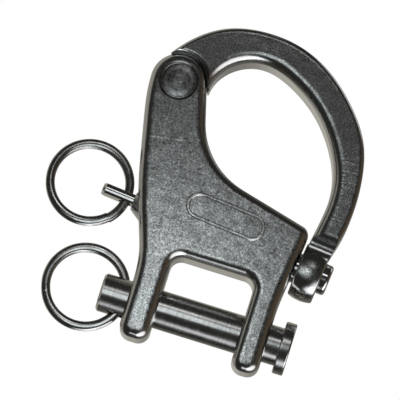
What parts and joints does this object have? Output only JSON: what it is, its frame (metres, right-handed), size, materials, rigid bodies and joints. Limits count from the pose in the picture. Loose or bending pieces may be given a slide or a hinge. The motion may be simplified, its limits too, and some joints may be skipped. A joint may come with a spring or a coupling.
{
  "type": "snap shackle",
  "caption": "Fixed-fork snap shackle: a cast body with a clevis pin in its fork and a hinged bail that a sprung plunger with a pull ring latches shut.",
  "frame": {"origin": "on the clevis pin's axis, midway between the fork's legs and at mid thickness", "axes": "+X along the clevis pin towards its head, +Z along the load line from the fork to the bail, -Y out of the front face"},
  "size_m": [0.0625, 0.0123, 0.0697],
  "materials": {
    "cast_body": "tumbled and polished stainless casting with a fine speckle",
    "cast_bail": "polished stainless casting",
    "rivet_steel": "turned stainless with faint concentric marks",
    "plunger_steel": "polished stainless",
    "spring_wire": "drawn stainless wire",
    "ring_wire": "bright drawn stainless wire",
    "pin_steel": "ground stainless with fine circumferential lines"
  },
  "bodies": {
    "root": {"body": "cast_body", "hinge_rivet": "rivet_steel", "plunger_spring": "spring_wire"},
    "bail": {"bail": "cast_bail"},
    "plunger": {"plunger": "plunger_steel"},
    "plunger_ring": {"plunger_ring": "ring_wire"},
    "clevis_pin": {"clevis_pin": "pin_steel"},
    "clevis_pin_ring": {"clevis_pin_ring": "ring_wire"}
  },
  "joints": [
    {"name": "bail_hinge", "type": "hinge", "parent": "root", "child": "bail", "pos_m": [-0.0185, 0, 0.0456], "axis": [0, -1, 0], "range_deg": [0, 75]},
    {"name": "plunger_slide", "type": "slide", "parent": "root", "child": "plunger", "axis": [-0.9959, 0, 0.091], "range_m": [0, 0.0075], "stiffness_N_per_m": 800, "springref_m": -0.006, "deforming": ["plunger_spring"]},
    {"name": "plunger_ring_swing", "type": "hinge", "parent": "plunger", "child": "plunger_ring", "pos_m": [-0.02161, 0, 0.01997], "axis": [0.0906, 0.0872, 0.9921], "range_deg": [-62, 62]},
    {"name": "clevis_pin_slide", "type": "slide", "parent": "root", "child": "clevis_pin", "axis": [1, 0, 0], "range_m": [-0.0026, 0.0003]},
    {"name": "clevis_pin_ring_swing", "type": "hinge", "parent": "clevis_pin", "child": "clevis_pin_ring", "pos_m": [-0.01655, 0, 0], "axis": [0, 0.0872, 0.9962], "range_deg": [-65, 65]}
  ]
}
